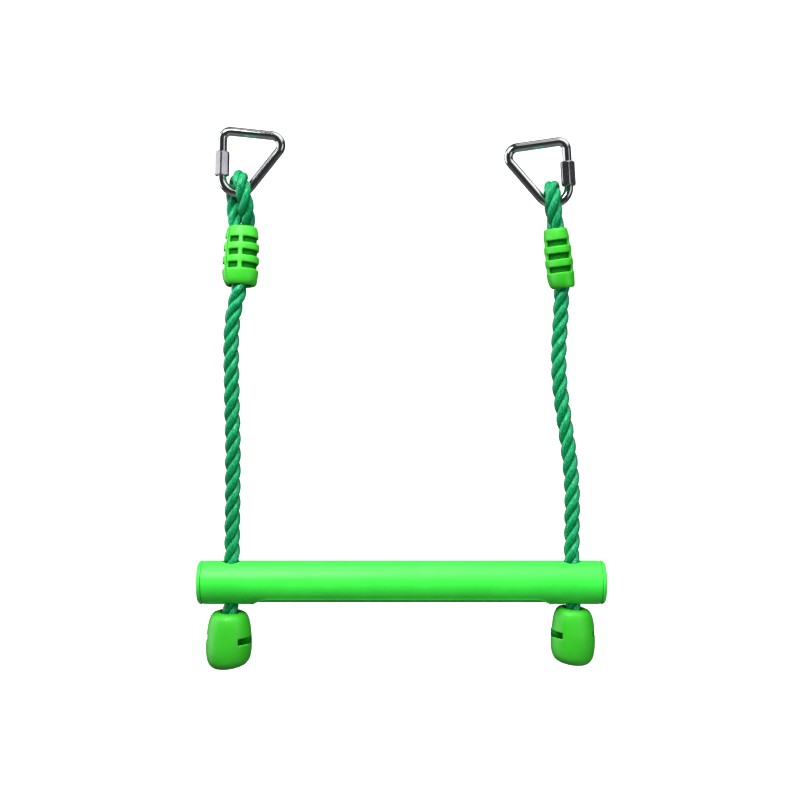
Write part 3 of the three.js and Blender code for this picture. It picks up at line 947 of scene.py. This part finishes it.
def fillet_path(points, radii, step):
    """A path through points in a plane, with each inner corner rounded to its radius."""
    out = [np.array(points[0], float)]
    for before, corner, after, radius in zip(points, points[1:], points[2:], radii):
        before, corner, after = (np.array(v, float) for v in (before, corner, after))
        back, ahead = unit(before - corner), unit(after - corner)
        half = math.acos(np.clip(np.dot(back, ahead), -1, 1)) / 2
        centre = corner + unit(back + ahead) * radius / math.sin(half)
        start = corner + back * radius / math.tan(half)
        end = corner + ahead * radius / math.tan(half)
        a = math.atan2(*(start - centre)[::-1])
        b = math.atan2(*(end - centre)[::-1])
        b = a + (b - a + math.pi) % (2 * math.pi) - math.pi
        for t in np.linspace(a, b, 24):
            out.append(centre + radius * np.array([math.cos(t), math.sin(t)]))
    out.append(np.array(points[-1], float))
    return even(np.array([(x, 0, z) for x, z in out]), step)


def link_points(points, side):
    """Points about the gate corner, put where the link is."""
    spot = LINK[side]
    points = np.array(points, float)
    points[:, 0] = (points[:, 0] - ROPE_BEND[0]) * spot["inward"]
    points[:, 2] -= ROPE_BEND[1]
    return placed(points, {**spot, "nod": 0, "turn": 0})


def threaded(z, angle):
    """How deep the thread is at a height and an angle, on the stub and under the nut."""
    on = climbed(z, THREAD_LOW, THREAD_LOW + THREAD_FADE)
    on *= climbed(z, THREAD_HIGH, THREAD_HIGH - THREAD_FADE)
    wave = 0.5 - 0.5 * math.cos(2 * math.pi * (z / THREAD_PITCH - angle / (2 * math.pi)))
    return THREAD_DEPTH * on * wave


def wire_piece(side):
    """The link's bent wire from below the gate round to above it, threaded where it is straight."""
    corners = [(0, GATE_LOW), LINK_ROPE, LINK_TOP, (0, 0), (0, GATE_HIGH)]
    radii = [LINK_BENDS["rope"], LINK_BENDS["top"], LINK_BENDS["gate"]]
    path = fillet_path(corners, radii, 0.3)
    along = along_of(path)
    ends = np.minimum(along, along[-1] - along)
    tangent = unit(np.gradient(path, axis=0))
    around = 36
    points = []
    for p, t, end in zip(path, tangent, ends):
        across = np.array([-t[2], 0, t[0]])
        chamfer = max(0, WIRE_CHAMFER - end)
        straight = abs(p[0]) < 0.01
        for i in range(around):
            a = 2 * math.pi * i / around
            r = WIRE_RADIUS - chamfer - (threaded(p[2], a) if straight else 0)
            points.append(p + r * (math.cos(a) * across + math.sin(a) * np.array([0, 1, 0])))
    faces = tube_faces(len(path), around)
    piece = recalculated(make_object(f"{side}_link_wire", link_points(points, side), faces, STEEL))
    piece.data.set_sharp_from_angle(angle=math.radians(60))
    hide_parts(f"{side}_link_frame")
    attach(piece, f"{side}_link")


def nut_piece(side):
    """The hexagonal sleeve, its ends turned to a chamfer, with a bore and a small lead-in."""
    around = 72
    reach = NUT_FLATS / 2 / math.cos(math.pi / 6)
    rise = [0, 0.15, 0.3, 0.45, 0.6, 0.8, 1.0, 1.3]
    levels = [NUT_LOW + r for r in rise] + [NUT_LOW + NUT_LENGTH - r for r in rise[::-1]]
    points = []
    for z in levels:
        inside = min(z - NUT_LOW, NUT_LOW + NUT_LENGTH - z)
        cone = NUT_FLATS / 2 - NUT_CHAMFER + NUT_SLOPE * inside
        for i in range(around):
            a = 2 * math.pi * i / around
            off = (a + math.pi / 6) % (math.pi / 3) - math.pi / 6
            r = min(NUT_FLATS / 2 / math.cos(off), cone, reach - NUT_BLUNT)
            points.append((r * math.cos(a), r * math.sin(a), z))
    low, high = levels[0], levels[-1]
    wide = NUT_BORE + NUT_LEAD
    bore = [(wide, high), (NUT_BORE, high - NUT_LEAD), (NUT_BORE, low + NUT_LEAD), (wide, low)]
    points += [(r * c, r * s, z) for r, z in bore for c, s in circle(around)]
    rings = len(levels) + len(bore)
    faces = []
    for i in range(rings):
        faces += band(i * around, (i + 1) % rings * around, around)
    piece = recalculated(make_object(f"{side}_nut", link_points(points, side), faces, NUT_STEEL))
    piece.data.set_sharp_from_angle(angle=math.radians(24))
    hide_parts(f"{side}_link_nut")
    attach(piece, f"{side}_nut")


for side in SIDES:
    wire_piece(side)
    nut_piece(side)


# ---- Stage ---------------------------------------------------------------------------------------
# The backdrop's places, in metres.
FLOOR_Z, WALL_Y, WALL_TOP, SWEEP, REACH = -0.75, 1.7, 1.8, 0.8, 3.0
GLOW_START, GLOW_FULL = 0.25, 0.9  # the depths between which the backdrop brightens to white


def make_stage():
    """A pale floor that sweeps up into a white backdrop behind the object."""
    profile = [(-REACH, FLOOR_Z)]
    for t in np.linspace(0, math.pi / 2, 24):
        profile.append((WALL_Y - SWEEP + SWEEP * math.sin(t), FLOOR_Z + SWEEP * (1 - math.cos(t))))
    profile.append((WALL_Y, WALL_TOP))
    points = [(x / MM, y / MM, z / MM) for y, z in profile for x in (-REACH, REACH)]
    faces = [(2 * i, 2 * i + 1, 2 * i + 3, 2 * i + 2) for i in range(len(profile) - 1)]
    made = Nodes("backdrop", Roughness=0.9, Specular_IOR_Level=0.1)
    clouds = made.noise(3, detail=2)
    made.colour(made.ramp(clouds, [(0, (0.80, 0.80, 0.80)), (1, (0.83, 0.83, 0.83))]))
    split = made.add("ShaderNodeSeparateXYZ")
    made.link(made.place, split.inputs["Vector"])
    glow = made.spread(split.outputs["Y"], GLOW_START, GLOW_FULL)
    made.link(glow, made.shader.inputs["Emission Strength"])
    made.shader.inputs["Emission Color"].default_value = (1, 1, 1, 1)
    backdrop = make_object("backdrop", points, faces, made.material)
    backdrop.visible_diffuse = False  # the world lights the object; the backdrop is only looked at
    backdrop.visible_glossy = False


# Each softbox is (direction, cosine where it starts, cosine where it is full, brightness).
SOFTBOXES = [
    ((0.46, -0.10, 0.88), 0.80, 0.91, 1.15),
    ((0.40, -0.62, 0.66), 0.88, 0.95, 1.10),
    ((-1.0, 0.1, 0.10), 0.84, 0.90, 1.80),
    ((-0.72, -0.20, 0.62), 0.90, 0.95, 1.10),
    ((0.77, -0.64, 0.0), 0.95, 0.985, 1.10),
    ((0.0, 0.1, -1.0), 0.30, 0.95, 0.18),
]
ROOM = (0.03, 0.032, 0.035)


def make_world():
    """A dim room with soft boxes overhead and at both sides, and pale light off the floor."""
    world = bpy.data.worlds.new("studio")
    bpy.context.scene.world = world
    world.use_nodes = True
    tree = world.node_tree
    direction = tree.nodes.new("ShaderNodeTexCoord").outputs["Generated"]
    total = None
    for aim, start, full, brightness in SOFTBOXES:
        dot = tree.nodes.new("ShaderNodeVectorMath")
        dot.operation = "DOT_PRODUCT"
        tree.links.new(direction, dot.inputs[0])
        dot.inputs[1].default_value = Vector(aim).normalized()
        edge = tree.nodes.new("ShaderNodeMapRange")
        edge.interpolation_type = "SMOOTHSTEP"
        tree.links.new(dot.outputs["Value"], edge.inputs["Value"])
        set_range(edge, start, full, 0, brightness)
        if total is None:
            total = edge.outputs["Result"]
            continue
        both = tree.nodes.new("ShaderNodeMath")
        both.operation = "ADD"
        tree.links.new(total, both.inputs[0])
        tree.links.new(edge.outputs["Result"], both.inputs[1])
        total = both.outputs[0]
    boxes = tree.nodes.new("ShaderNodeBackground")
    tree.links.new(total, boxes.inputs["Strength"])
    room = tree.nodes["Background"]
    room.inputs["Color"].default_value = (*ROOM, 1)
    add = tree.nodes.new("ShaderNodeAddShader")
    tree.links.new(room.outputs[0], add.inputs[0])
    tree.links.new(boxes.outputs[0], add.inputs[1])
    tree.links.new(add.outputs[0], tree.nodes["World Output"].inputs["Surface"])


# Each lamp is (name, place, size, power, whether polished steel shows it).
LAMPS = [
    ("key", (-0.40, -0.95, 0.75), 0.90, 15, False),
    ("overhead", (-0.30, -0.42, 0.86), 1.3, 24, False),
    ("right_fill", (0.60, -0.80, -0.25), 0.5, 4.0, False),
    ("shown_key", (-0.45, -0.95, 0.75), 0.55, 5.0, True),
]


def make_lights():
    middle = Vector((0, 0, -0.2))
    for name, place, size, power, shown in LAMPS:
        data = bpy.data.lights.new(name, "AREA")
        data.shape, data.size, data.energy = "DISK", size, power
        lamp = bpy.data.objects.new(name, data)
        lamp.location = place
        lamp.visible_glossy = shown
        lamp.rotation_mode = "QUATERNION"
        lamp.rotation_quaternion = (middle - Vector(place)).to_track_quat("-Z", "Y")
        bpy.context.scene.collection.objects.link(lamp)


make_world()
make_stage()
make_lights()
bpy.context.scene.view_settings.view_transform = "Standard"
